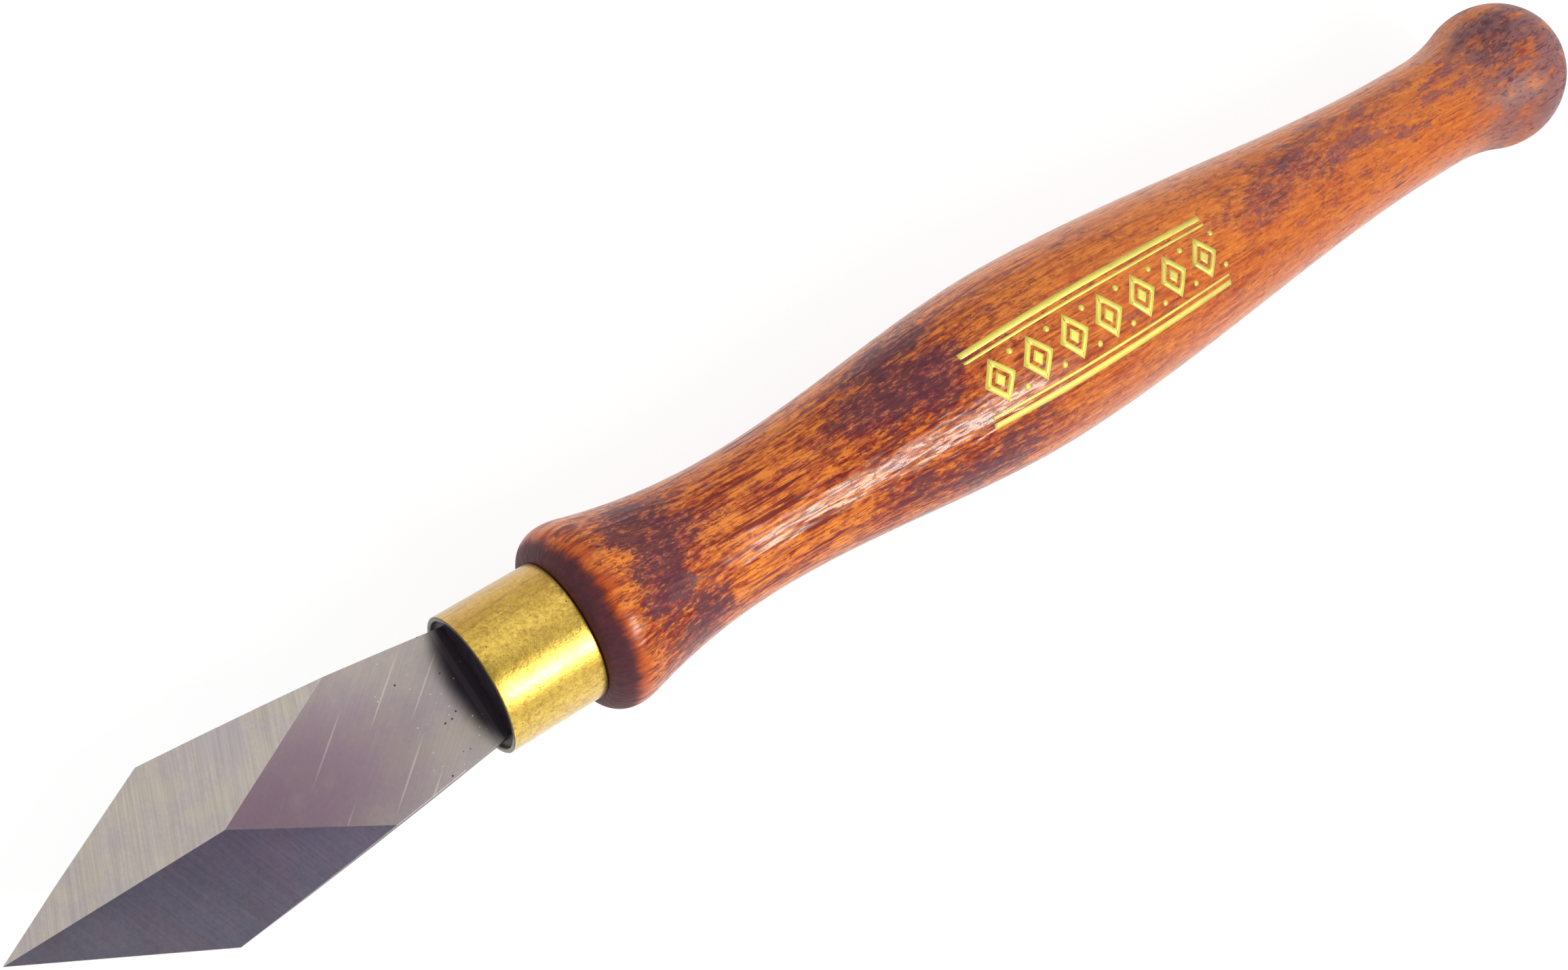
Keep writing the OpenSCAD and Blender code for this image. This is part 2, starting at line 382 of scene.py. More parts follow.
class Surface(Tree):
    """A material whose patterns are measured in millimetres from the blade's point and the axis."""

    def __init__(self, name, settings, axis_height, base, **constants):
        material = bpy.data.materials.new(name)
        material.use_nodes = True
        super().__init__(material.node_tree)
        self.material = material
        self.shader = self.tree.nodes["Principled BSDF"]
        for key, value in constants.items():
            self.shader.inputs[key.replace("_", " ")].default_value = value
        material.diffuse_color = (*base, 1)
        coords = self.add("ShaderNodeTexCoord").outputs["Object"]
        point = (PER_METRE * (settings.handle.end / 2), 0, -PER_METRE * axis_height)
        self.place = self.vector("ADD", self.in_mm(coords), point)
        self.x, self.y, self.z = self.parts(self.place)

    def in_mm(self, metres):
        return self.vector("MULTIPLY", metres, (PER_METRE, PER_METRE, PER_METRE))

    def spread(self, size, along, across, shift, seed, place):
        """The place counted in sizes of a pattern, moved along by the pattern's seed."""
        pace = (along / size, across / size, across / size)
        scaled = self.vector("MULTIPLY", place or self.place, pace)
        return self.vector("ADD", scaled, [seed * s for s in shift])

    def noise(self, size, along, detail, rough, seed, place=None, bend=0.0, across=1):
        """Noise of a size in mm. Along and across say how fast it changes on and off the grain."""
        node = self.add("ShaderNodeTexNoise", {
            "Vector": self.spread(size, along, across, NOISE_SHIFT, seed, place), "Scale": 1.0,
            "Detail": detail, "Roughness": rough, "Distortion": bend,
        })
        return node.outputs["Fac"]

    def specks(self, size, edge, chosen, seed, along=1, place=None, dimensions="3D", gather=None):
        """Scattered specks. Edge says where each starts and is full, chosen which of them show.

        Gather shows more where its value is high: the value, chance's share, its own share.
        """
        node = self.add(
            "ShaderNodeTexVoronoi",
            {"Vector": self.spread(size, along, 1, SPECK_SHIFT, seed, place), "Scale": 1.0},
            voronoi_dimensions=dimensions,
        )
        chance = self.parts(node.outputs["Color"])[0]
        if gather:
            value, chance_share, value_share = gather
            chance = self.add_up((chance, chance_share), (value, value_share))
        return self.times(self.between(node.outputs["Distance"], *edge), self.between(chance, *chosen))

    def mix(self, factor, a, b):
        a, b = (v if isinstance(v, bpy.types.NodeSocket) else (*v[:3], 1) for v in (a, b))
        return self.add("ShaderNodeMix", {0: factor, 6: a, 7: b}, data_type="RGBA").outputs[2]

    def layered(self, shade, *layers):
        """Lays colours over a shade, each as (where it shows, its share, colour)."""
        for value, share, colour_over in layers:
            shade = self.mix(self.times(value, share), shade, colour_over)
        return shade

    def ramp(self, value, stops):
        node = self.add("ShaderNodeValToRGB", {0: value})
        elements = node.color_ramp.elements
        while len(elements) < len(stops):
            elements.new(0.5)
        for element, (position, shade) in zip(elements, stops):
            element.position = position
            element.color = (*shade[:3], 1)
        return node.outputs[0]

    def add_up(self, *terms, base=0.0, clamp=False):
        """Each value times its share, added to the base."""
        total = None
        for value, share in terms:
            part = self.times(value, share)
            total = part if total is None else self.plus(total, part)
        return self.math("ADD", total, base, clamp) if base else total

    def patch(self, centre, radii, soft=1.0):
        """A round patch: 1 in its middle, 0 at its edge."""
        offset = self.vector("SUBTRACT", self.place, centre)
        distance = self.vector("LENGTH", self.vector("DIVIDE", offset, radii))
        return self.between(distance, 1.0, 1.0 - soft)

    def finish(self, base, rough, height, depth):
        """Feeds the shader, with the relief's depth in millimetres."""
        bump = self.out("ShaderNodeBump", {"Strength": 1.0, "Distance": depth * MM, "Height": height})
        for name, value in (("Base Color", base), ("Roughness", rough), ("Normal", bump)):
            self.feed(self.shader.inputs[name], value)
        return self.material


# Finishes


def wood_finish(settings, axis_height):
    """Stained beech under worn lacquer: streaks along the handle, blotches of stain, dark flecks."""
    c = settings.colours
    s = Surface("lacquered_beech", settings, axis_height, c.wood_mid, IOR=1.38)
    bands = s.noise(3.4, 0.05, 3, 0.55, 1, bend=0.3)
    streaks = s.noise(0.95, 0.06, 4, 0.72, 2, bend=0.2)
    hairs = s.noise(0.42, 0.07, 2, 0.6, 3)
    clouds = s.noise(8.0, 0.6, 4, 0.6, 4)
    blotches = s.noise(1.7, 0.42, 5, 0.75, 6)
    dashes = s.noise(0.50, 0.36, 3, 0.66, 12)
    spots = s.noise(3.0, 0.55, 4, 0.62, 18)

    # Where the stain lies, and the zones along the handle
    stains = s.larger(*[s.times(s.patch(middle, reach), share) for middle, reach, share in STAINS])
    stains = s.add_up((stains, 0.80), (clouds, 0.6), (spots, 1.5), (blotches, 0.6))
    crest = s.between(s.add_up((s.x, 1.0), (clouds, 4.0), (blotches, 7.0)), *CREST_ZONE)
    stains = s.times(s.between(stains, 1.38, 2.06), s.without(crest))
    front = s.between(s.x, *FRONT_ZONE)
    waist = s.times(s.between(s.x, *WAIST_START), s.between(s.x, *WAIST_END))
    rear = s.between(s.x, *REAR_ZONE)

    # Light and dark along the grain, and painted fill light that makes the +Y side paler
    grain = s.add_up((bands, 0.8), (streaks, 1.8), (hairs, 2.8), base=-2.70)
    mottle = s.add_up((blotches, 1.1), (dashes, 3.2), base=-2.15)
    depth = s.add_up((stains, 0.60), (front, 0.42), (crest, -0.30), (rear, -0.10), base=0.31)
    calm = s.add_up((stains, -0.15), (front, 0.54), (waist, 0.02), (crest, -0.45), (rear, -0.16), base=0.44)
    pattern = s.plus(s.times(grain, calm), s.times(mottle, depth))
    # Painted light: the +Y side is made paler, standing in for fill light from that side
    painted_fill_light = s.between(s.y, -9.0, 9.0)
    value = s.add_up(
        (pattern, 0.8), (stains, -0.15), (front, -0.08), (waist, 0.07), (crest, -0.06), (rear, -0.01),
        (painted_fill_light, 0.17), base=0.635,
    )
    wood = s.ramp(value, [
        (0.04, c.wood_deep), (0.26, c.wood_dark), (0.48, c.wood_red),
        (0.69, c.wood_mid), (0.94, c.wood_light),
    ])

    # Stain over the grain, and the duller ball
    islands = s.noise(1.8, 0.40, 5, 0.74, 24)
    band = s.times(rear, s.patch(*REAR_BAND))
    islands = s.between(s.add_up((islands, 1.0), (band, 0.10)), 0.575, 0.645)
    ball = s.between(s.add_up((s.x, 1.0), (clouds, 6.0)), *BALL_ZONE)
    dulled = s.larger(s.between(spots, 0.42, 0.56, 0.22, 0.82), s.patch(*BALL_SPOT))
    wood = s.layered(
        wood, (crest, 0.55, c.wood_crest), (stains, 0.40, c.stain),
        (islands, s.add_up((rear, 0.22), base=0.36), c.stain), (ball, dulled, c.wood_ball),
    )

    # Flecks, pores and threads that took the stain
    crowd = s.add_up(
        (stains, 0.60), (front, 0.22), (waist, -0.30), (crest, -0.90), (blotches, 0.9), base=-0.47,
    )
    layers = []
    for size, along, low, seed in FLECKS:
        marks = s.noise(size, along, 3, 0.66, seed)
        layers.append(s.between(s.add_up((marks, 1.0), (crowd, 0.14)), low, low + 0.06))
    flecks = s.larger(*layers)
    pores = s.between(s.plus(hairs, s.times(crowd, 0.10)), 0.58, 0.70)
    tint = s.mix(s.between(stains, 0.15, 0.55), c.wood_deep, c.fleck)
    threads = s.between(s.noise(0.55, 0.035, 2, 0.6, 21, bend=0.2), 0.555, 0.625)
    marked = s.add_up((front, 0.26), (dashes, 0.9))
    drawn = s.add_up((front, 0.42), (waist, 0.28), base=0.16)
    wood = s.layered(wood, (pores, 0.65, tint), (flecks, marked, tint), (threads, drawn, tint))

    # The dark front of the collar: dark stain, deepened by painted shade where the face turns away from the
    # lamps
    early = s.times(s.between(s.y, 1.0, 9.0), 1.1)
    edge = s.add_up((s.x, 1.0), (streaks, 1.4), (blotches, 1.2), (early, 1.0))
    face = s.between(edge, *FACE_ZONE)
    wood = s.layered(
        wood, (s.between(edge, *RIM_ZONE), 0.60, c.wood_deep),
        (face, s.add_up((streaks, -0.40), base=1.08), c.collar_face),
    )

    # Gloss and relief
    holes = s.larger(s.times(flecks, 0.6), s.times(pores, 0.9))
    wear = s.noise(4.0, 0.4, 4, 0.6, 8)
    rough = s.add_up(
        (holes, 0.20), (wear, 0.12), (streaks, 0.10), (face, 0.24), (ball, 0.26), (crest, 0.14),
        base=0.08, clamp=True,
    )
    ripple = s.noise(1.1, 0.25, 1, 0.5, 9)
    cords = s.noise(0.62, 0.14, 1, 0.5, 10)
    height = s.add_up((hairs, 0.08), (ripple, 1.0), (cords, 0.6))
    return s.finish(wood, rough, height, 0.12)


def brass_finish(settings, axis_height):
    """Satin brass with a fine speckle, dull smudges, drawn lines and small dark pits; painted shade, with
    some tarnish, darkens its rims and the inside of its mouth, and painted shade dulls its upper side.
    """
    c = settings.colours
    ferrule = settings.ferrule
    s = Surface(
        "worn_brass", settings, axis_height, c.brass, Metallic=1.0,
        Coat_Weight=0.7, Coat_Roughness=0.25, Coat_IOR=1.5,
    )
    smudges = s.noise(3.2, 0.8, 5, 0.65, 1)
    speckle = s.noise(0.32, 1, 3, 0.75, 2)
    lines = s.noise(0.14, 1, 2, 0.5, 3, across=0.06)
    rubs = s.noise(0.5, 0.12, 3, 0.6, 4)
    # Painted shade: the upper (+Y) side is dulled, standing in for its darker reflections
    painted_upper_shade = s.between(s.y, 1.5, 6.5)
    dull = s.add_up((smudges, 0.6), (speckle, 0.80), (rubs, 0.25), (painted_upper_shade, 0.26))
    dull = s.between(dull, 0.70, 1.02)
    dusty = s.noise(0.55, 1, 5, 0.8, 7)
    drawn = s.noise(0.40, 0.10, 3, 0.65, 8)

    pits = s.specks(0.9, edge=(0.10, 0.05), chosen=(0.62, 0.66), seed=5)
    dots = s.specks(0.34, edge=(0.16, 0.08), chosen=(0.70, 0.75), seed=6)
    # Painted shade, with some tarnish: the rims, the inside of the mouth and the rear joint are darkened
    front, rear = ferrule.mouth / MM, ferrule.rear / MM
    bore = (ferrule.diameter / 2 - ferrule.wall) / MM
    radius = s.vector("LENGTH", s.vector("MULTIPLY", s.place, (0, 1, 1)))
    rim_shade_and_tarnish = s.larger(
        s.between(s.x, front + 0.14, front + 0.05), s.between(s.x, rear - 0.25, rear),
        s.between(radius, bore + 0.16, bore + 0.05),
    )
    marks = s.larger(pits, s.times(dots, 0.8), s.times(rim_shade_and_tarnish, 0.92))
    brass = s.layered(
        c.brass, (dull, 1.0, c.brass_dull), (s.between(dusty, 0.44, 0.66), 0.62, c.brass_brown),
        (s.between(drawn, 0.50, 0.64), s.between(s.y, 0.5, 5.0, 0.10, 0.55), c.brass_brown),
        (marks, 1.0, c.brass_dark),
    )
    rough = s.add_up((dull, 0.10), (speckle, 0.10), (marks, 0.2), (smudges, 0.08), base=0.17, clamp=True)
    height = s.add_up(
        (speckle, 1.3), (dusty, 1.0), (lines, 0.35), (marks, -0.8), (rubs, 0.8), (smudges, 1.0),
    )
    return s.finish(brass, rough, height, 0.016)


def steel_finish(settings, axis_height):
    """Ground steel: lines along each facet's own direction, scratches, pits and a dark root."""
    c = settings.colours
    root = settings.ferrule.mouth / MM
    s = Surface(
        "ground_steel", settings, axis_height, c.steel, Metallic=1.0,
        Specular_Tint=(0.35, 0.35, 0.38, 1.0),
    )
    lay = s.in_mm(s.out("ShaderNodeUVMap", uv_map="grinding"))
    facet = s.parts(s.add("ShaderNodeAttribute", attribute_name="facet").outputs["Vector"])
    bevel, far_bevel = facet[0], facet[1]
    lines = s.noise(0.27, 0.02, 4, 0.75, 1, place=lay)
    coarse = s.noise(0.60, 0.05, 4, 0.6, 2, place=lay)
    clouds = s.noise(5.0, 1, 3, 0.5, 3)
    mottle = s.noise(0.40, 1, 4, 0.8, 4)
    grain = s.noise(0.08, 1, 2, 0.6, 5)
    hue = s.noise(3.4, 1, 2, 0.5, 11)

    # Warm and cool grain, and painted reflection: a purplish tint on the flat and a slate tint with purple
    # clouds on the -Y bevel
    hues = s.between(s.add_up((mottle, 0.5), (hue, 0.5)), 0.40, 0.60)
    steel = s.mix(0.64, s.mix(hues, c.steel_cool, c.steel_warm), c.steel)
    tint = s.times(s.patch(*FLAT_REFLECTION_TINT, soft=0.9), s.without(bevel))
    tint = s.times(tint, s.between(clouds, 0.20, 0.60, 0.6, 1.1))
    cut = s.between(s.add_up((lines, 0.9), (coarse, 0.2)), 0.44, 0.68)

    # Scratches, pits and glints, and the dark root
    scratches = s.specks(
        1.5, edge=(0.070, 0.030), chosen=(0.30, 0.35), seed=1, along=0.022, place=lay,
        dimensions="2D",
    )
    scratches = s.times(scratches, s.times(s.between(s.x, 24, 36), s.without(far_bevel)))
    near_root = s.between(s.x, root - 14, root - 4)
    pits = s.specks(0.7, edge=(0.22, 0.10), chosen=(0.93, 0.96), seed=7, gather=(near_root, 0.8, 0.28))
    bright = s.specks(0.45, edge=(0.22, 0.10), chosen=(0.95, 0.97), seed=9, gather=(near_root, 0.85, 0.22))
    across = s.times(s.times(s.y, s.y), 0.034)
    reach = s.plus(s.math("SUBTRACT", s.x, across), s.times(clouds, 0.8))
    shade = s.between(reach, root - 2.9, root - 0.7)
    scratches = s.times(scratches, s.without(shade))
    # The deeper grinding lines on the +Y bevel are painted shade; the slate of the -Y bevel is painted dark
    # reflection
    steel = s.layered(
        steel, (tint, 0.80, c.steel_tint), (cut, s.add_up((bevel, 0.12), base=0.12), c.steel_shade),
        (far_bevel, 0.75, c.steel_slate), (far_bevel, s.between(hue, 0.42, 0.60, 0.0, 0.20), c.steel_tint),
        (s.larger(s.times(pits, 0.85), s.times(shade, 0.95)), 1.0, c.steel_dark),
        (scratches, 0.36, c.steel_glint), (bright, 0.8, c.steel_glint),
    )
    rough = s.add_up((lines, 0.12), (clouds, 0.10), (shade, 0.25), (mottle, 0.10), base=0.20, clamp=True)
    height = s.add_up((lines, 0.7), (coarse, 0.4), (grain, 0.25), (pits, -2.0), (scratches, -0.8))
    return s.finish(steel, rough, height, 0.006)


def resin_finish(settings, axis_height):
    """Dark resin with dust in it."""
    c = settings.colours
    s = Surface("dark_resin", settings, axis_height, c.resin, IOR=1.35)
    clouds = s.noise(1.4, 1, 4, 0.6, 1)
    dust = s.specks(0.35, edge=(0.14, 0.06), chosen=(0.85, 0.9), seed=2)
    base = s.mix(s.between(clouds, 0.35, 0.7), [0.6 * v for v in c.resin], c.resin)
    base = s.mix(s.times(dust, 0.5), base, c.steel_cool)
    rough = s.add_up((clouds, 0.3), base=0.35)
    return s.finish(base, rough, s.add_up((clouds, 1.0), (dust, 0.5)), 0.03)


def foil_finish(settings, axis_height):
    """Gold foil, rubbed through to the wood in small spots, and dulled toward the rear of the band by
    painted shade.
    """
    c = settings.colours
    s = Surface("gold_foil", settings, axis_height, c.foil)
    worn = s.noise(1.6, 0.5, 5, 0.7, 1)
    grain = s.noise(0.10, 0.5, 3, 0.6, 2)
    # Painted shade: the foil dulls toward the rear of the band
    painted_fade = s.between(s.x, *FOIL_SHADE_ZONE)
    rubbed_and_shaded = s.between(s.add_up((worn, 0.8), (painted_fade, 0.30)), 0.35, 0.95)
    holes = s.between(s.add_up((worn, 0.7), (grain, 0.6)), 0.80, 0.88)
    base = s.layered(c.foil, (rubbed_and_shaded, 1.0, c.foil_rubbed_and_shaded), (holes, 0.8, c.wood_red))
    s.feed(s.shader.inputs["Metallic"], s.math("SUBTRACT", 0.45, s.times(holes, 0.4)))
    rough = s.add_up((grain, 0.25), base=0.28)
    return s.finish(base, rough, s.add_up((grain, 0.6), (holes, -0.5)), 0.01)


# Shapes


def placed(name, data):
    """A new object in the scene."""
    thing = bpy.data.objects.new(name, data)
    bpy.context.scene.collection.objects.link(thing)
    return thing


def mesh_from(bm, name):
    """A new mesh from a bmesh, which it frees."""
    mesh = bpy.data.meshes.new(name)
    bm.to_mesh(mesh)
    bm.free()
    return mesh


def ease(u):
    return u * u * (3 - 2 * u)


def arc(x, r, radius, start, stop, steps):
    turns = [start + (stop - start) * i / steps for i in range(steps + 1)]
    return [(x + radius * math.cos(a), r + radius * math.sin(a)) for a in turns]


def handle_profile(h):
    """The handle's outline as (distance from the point, radius), from the bore's end to the ball's."""
    right = math.pi / 2
    crest = h.face + h.collar_depth
    face, collar, waist, belly, neck, ball, spigot, bore = (diameter / 2 for diameter in (
        h.collar_face_diameter, h.collar_diameter, h.waist_diameter, h.belly_diameter,
        h.neck_diameter, h.ball_diameter, h.spigot_diameter, h.bore_diameter,
    ))
    # Points close to each corner keep the faces between the corners flat under smooth shading.
    outline = [
        (h.bore_end, 0.0), (h.bore_end, bore * BORE_RING_SHARE), (h.bore_end, bore),
        (h.bore_end - HEM, bore), (h.wood_end + HEM, bore), (h.wood_end, bore),
        (h.wood_end, bore + HEM), (h.wood_end, spigot - HEM), (h.wood_end, spigot),
        (h.wood_end + HEM, spigot), (h.face - HEM, spigot), (h.face, spigot), (h.face, spigot + HEM / 2),
    ]
    surface = [
        (h.face + h.collar_depth * (1 - math.cos(a)), face + (collar - face) * math.sin(a))
        for a in [right * i / FRONT_STEPS for i in range(FRONT_STEPS + 1)]
    ]
    rise, run = collar - waist, h.waist - crest
    cove = (run ** 2 + rise ** 2) / (2 * rise) - h.collar_radius
    turn = math.asin(run / (h.collar_radius + cove))
    surface += arc(crest, collar - h.collar_radius, h.collar_radius, right, right - turn, COLLAR_STEPS)[1:]
    surface += arc(h.waist, waist + cove, cove, 3 * right - turn, 3 * right, WAIST_STEPS)[1:]
    for x0, r0, x1, r1, steps in [
        (h.waist, waist, h.belly, belly, BELLY_STEPS),
        (h.belly, belly, h.neck, neck, NECK_STEPS),
    ]:
        surface += [
            (x0 + (x1 - x0) * i / steps, r0 + (r1 - r0) * ease(i / steps)) for i in range(1, steps + 1)
        ]
    ball_x = h.end - ball
    reach = ball + h.ball_cove
    cove_r = neck + h.ball_cove
    cove_x = ball_x - math.sqrt(reach ** 2 - cove_r ** 2)
    ball_turn = math.asin(cove_r / reach)
    surface += arc(cove_x, cove_r, h.ball_cove, 3 * right, 4 * right - ball_turn, COVE_STEPS)[1:]
    surface += arc(ball_x, 0.0, ball, 2 * right - ball_turn, 0.0, BALL_STEPS)[1:]
    outline += [(x, max(r - h.film, 0.0)) for x, r in surface[:-1]]
    return outline + [(h.end, 0.0)]


def ferrule_profile(f):
    """The ferrule's wall as a closed outline of (distance from the point, radius)."""
    right = math.pi / 2
    outer = f.diameter / 2
    inner = outer - f.wall
    front, back = f.mouth + f.rim, f.rear - f.rim
    inner_front, outer_front, outer_back, inner_back = (
        arc(x, r, f.rim, start, start - right, RIM_STEPS)
        for x, r, start in (
            (front, inner + f.rim, 3 * right), (front, outer - f.rim, 2 * right),
            (back, outer - f.rim, right), (back, inner + f.rim, 0.0),
        )
    )
    along = [front + (back - front) * i / TUBE_STEPS for i in range(1, TUBE_STEPS)]
    outline = inner_front + outer_front + [(x, outer) for x in along] + outer_back + inner_back
    outline += [(x, inner) for x in reversed(along)]
    return outline + outline[:1]


def profile_mesh(name, outline):
    """A line through the outline's points, lying in the plane of the axis."""
    mesh = bpy.data.meshes.new(name)
    mesh.from_pydata([(x, 0, r) for x, r in outline], [(i, i + 1) for i in range(len(outline) - 1)], [])
    return mesh


def geometry_tree(name, output, **inputs):
    """A new geometry tree that takes the inputs, given as name=kind, and gives one output."""
    group = bpy.data.node_groups.new(name, "GeometryNodeTree")
    for label, kind in inputs.items():
        group.interface.new_socket(label, in_out="INPUT", socket_type="NodeSocket" + kind)
    group.interface.new_socket(output, in_out="OUTPUT", socket_type="NodeSocketGeometry")
    return group


def lathe_tree(name):
    """Turns a profile line round the knife's axis into a closed shape."""
    group = geometry_tree(
        name, "Turned", Profile="Geometry", Steps_round="Int", Point_to_middle="Float",
        Axis_height="Float", Material="Material",
    )
    t = Tree(group)
    given = t.add("NodeGroupInput").outputs
    points = t.out("GeometryNodeAttributeDomainSize", {0: given["Profile"]}, component="MESH")
    columns = t.plus(given["Steps_round"], 1.0)
    grid = t.add("GeometryNodeMeshGrid", {"Vertices X": points, "Vertices Y": columns}).outputs["Mesh"]
    index = t.out("GeometryNodeInputIndex")
    row = t.math("FLOOR", t.math("DIVIDE", t.plus(index, 0.5), columns))
    column = t.math("SUBTRACT", index, t.times(row, columns))
    sample = {"Geometry": given["Profile"], "Value": t.out("GeometryNodeInputPosition"), "Index": row}
    x, _, radius = t.parts(
        t.out("GeometryNodeSampleIndex", sample, data_type="FLOAT_VECTOR", domain="POINT")
    )
    angle = t.times(t.math("DIVIDE", column, given["Steps_round"]), math.tau)
    height = t.plus(t.times(radius, t.math("COSINE", angle)), given["Axis_height"])
    side = t.times(radius, t.math("SINE", angle))
    place = t.joined(t.math("SUBTRACT", x, given["Point_to_middle"]), side, height)
    turned = t.out("GeometryNodeSetPosition", {"Geometry": grid, "Position": place})
    closed = t.out("GeometryNodeMergeByDistance", {"Geometry": turned, "Distance": SEAM_WELD})
    t.deliver("Turned", closed, given["Material"])
    return group


def foil_motif(foil):
    """One flat repeat of the foil band: a hollow lozenge with a full one in it, and two dots."""
    bm = bmesh.new()
    pitch = foil.span / foil.repeats
    half_x, half_y = pitch * LOZENGE_LENGTH_SHARE, foil.width * LOZENGE_WIDTH_SHARE

    def patch(corners, steps):
        a, b, c, d = [Vector((*corner, 0)) for corner in corners]
        rows = []
        for i in range(steps[0] + 1):
            u = i / steps[0]
            near, far = a.lerp(b, u), d.lerp(c, u)
            rows.append([bm.verts.new(near.lerp(far, j / steps[1])) for j in range(steps[1] + 1)])
        for i in range(steps[0]):
            for j in range(steps[1]):
                bm.faces.new((rows[i][j], rows[i + 1][j], rows[i + 1][j + 1], rows[i][j + 1]))

    outer = [(half_x, 0), (0, half_y), (-half_x, 0), (0, -half_y)]
    inner = [(x * LOZENGE_HOLE_SHARE, y * LOZENGE_HOLE_SHARE) for x, y in outer]
    for k in range(4):
        n = (k + 1) % 4
        patch([outer[k], outer[n], inner[n], inner[k]], (6, 1))
    patch([(x * LOZENGE_CORE_SHARE, y * LOZENGE_CORE_SHARE) for x, y in outer], (4, 4))
    for side in (-1, 1):
        centre = Vector((pitch / 2, side * half_y * DOT_PLACE_SHARE, 0))
        ring = [
            bm.verts.new(centre + Vector((math.cos(a), math.sin(a), 0)) * DOT_RADIUS)
            for a in [math.tau * k / DOT_CORNERS for k in range(DOT_CORNERS)]
        ]
        hub = bm.verts.new(centre)
        for k in range(DOT_CORNERS):
            bm.faces.new((hub, ring[k], ring[(k + 1) % DOT_CORNERS]))
    bmesh.ops.remove_doubles(bm, verts=bm.verts, dist=WELD)
    return mesh_from(bm, "foil_motif")


def foil_tree(name):
    """Repeats a flat motif between two pairs of lines and lays the band on the handle."""
    group = geometry_tree(
        name, "Band", Motif="Geometry", Repeats="Int", Start="Float", Length="Float", Width="Float",
        Line="Float", Turn="Float", Lift="Float", Axis_height="Float", Radius="Float",
        Handle="Object", Material="Material",
    )
    t = Tree(group)
    given = t.add("NodeGroupInput").outputs
    pitch = t.math("DIVIDE", given["Length"], given["Repeats"])
    first = t.joined(t.plus(given["Start"], t.times(pitch, 0.5)), 0.0, 0.0)
    row = t.out("GeometryNodeMeshLine", {
        "Count": given["Repeats"], "Start Location": first, "Offset": t.joined(pitch, 0.0, 0.0),
    })
    motifs = t.out("GeometryNodeInstanceOnPoints", {"Points": row, "Instance": given["Motif"]})
    strip = t.add("GeometryNodeMeshGrid", {
        "Size X": given["Length"], "Size Y": given["Line"], "Vertices X": STRIP_POINTS, "Vertices Y": 2,
    }).outputs["Mesh"]
    middle = t.plus(given["Start"], t.times(given["Length"], 0.5))
    join = t.add("GeometryNodeJoinGeometry")
    t.feed(join.inputs[0], motifs)
    for share, thin in FOIL_LINES:
        place = t.joined(middle, t.times(given["Width"], share), 0.0)
        moved = {"Geometry": strip, "Translation": place, "Scale": (1, thin, 1)}
        t.feed(join.inputs[0], t.out("GeometryNodeTransform", moved))
    flat = t.out("GeometryNodeRealizeInstances", {"Geometry": join.outputs[0]})
    x, y, _ = t.parts(t.out("GeometryNodeInputPosition"))
    angle = t.plus(t.math("DIVIDE", y, given["Radius"]), given["Turn"])
    outward = t.joined(0.0, t.math("SINE", angle), t.math("COSINE", angle))
    axis = t.joined(x, 0.0, given["Axis_height"])
    far = t.vector("ADD", axis, t.vector("MULTIPLY", outward, (RAY_START, RAY_START, RAY_START)))
    handle = t.add("GeometryNodeObjectInfo", {"Object": given["Handle"]}).outputs["Geometry"]
    cast = t.add("GeometryNodeRaycast", {
        "Target Geometry": handle, "Source Position": far, "Ray Length": RAY_LENGTH,
        "Ray Direction": t.vector("MULTIPLY", outward, (-1, -1, -1)),
    })
    lift = t.out("ShaderNodeVectorMath", {0: outward, "Scale": given["Lift"]}, operation="SCALE")
    place = t.vector("ADD", cast.outputs["Hit Position"], lift)
    laid = t.out("GeometryNodeSetPosition", {"Geometry": flat, "Position": place})
    t.deliver("Band", laid, given["Material"])
    return group


def grown(name, source, tree, **inputs):
    """Runs a geometry tree on a mesh and returns the result as a plain object at the origin."""
    carrier = placed(name + "_source", source)
    modifier = carrier.modifiers.new("build", "NODES")
    modifier.node_group = tree
    for item in tree.interface.items_tree:
        if item.item_type == "SOCKET" and item.in_out == "INPUT" and item.name in inputs:
            modifier[item.identifier] = inputs[item.name]
    depsgraph = bpy.context.evaluated_depsgraph_get()
    mesh = bpy.data.meshes.new_from_object(carrier.evaluated_get(depsgraph))
    mesh.name = name
    bpy.data.objects.remove(carrier)
    if not mesh.polygons:
        raise RuntimeError(name + " came out empty")
    return placed(name, mesh)


def face_outward(mesh):
    bm = bmesh.new()
    bm.from_mesh(mesh)
    bmesh.ops.recalc_face_normals(bm, faces=bm.faces)
    bm.to_mesh(mesh)
    bm.free()


def eased_blade(edge_break):
    """The CAD blade with its flat faces made whole and its sharp edges eased."""
    bm = bmesh.new()
    bm.from_mesh(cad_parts["blade"].data)
    bmesh.ops.remove_doubles(bm, verts=bm.verts, dist=WELD)
    bmesh.ops.dissolve_limit(bm, angle_limit=FLAT_ANGLE, verts=bm.verts, edges=bm.edges, delimit=set())
    edges = [
        e for e in bm.edges
        if len(e.link_faces) == 2
        and e.calc_face_angle(0) > SHARP_ANGLE
        and min(f.calc_area() for f in e.link_faces) > SMALL_FACE
    ]
    bmesh.ops.bevel(
        bm, geom=edges, offset=edge_break, segments=2, profile=0.5, affect="EDGES", clamp_overlap=True,
    )
    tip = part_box("blade")[0].x
    for vert in bm.verts:
        vert.co.x = max(vert.co.x, tip)
    bm.normal_update()
    return bm


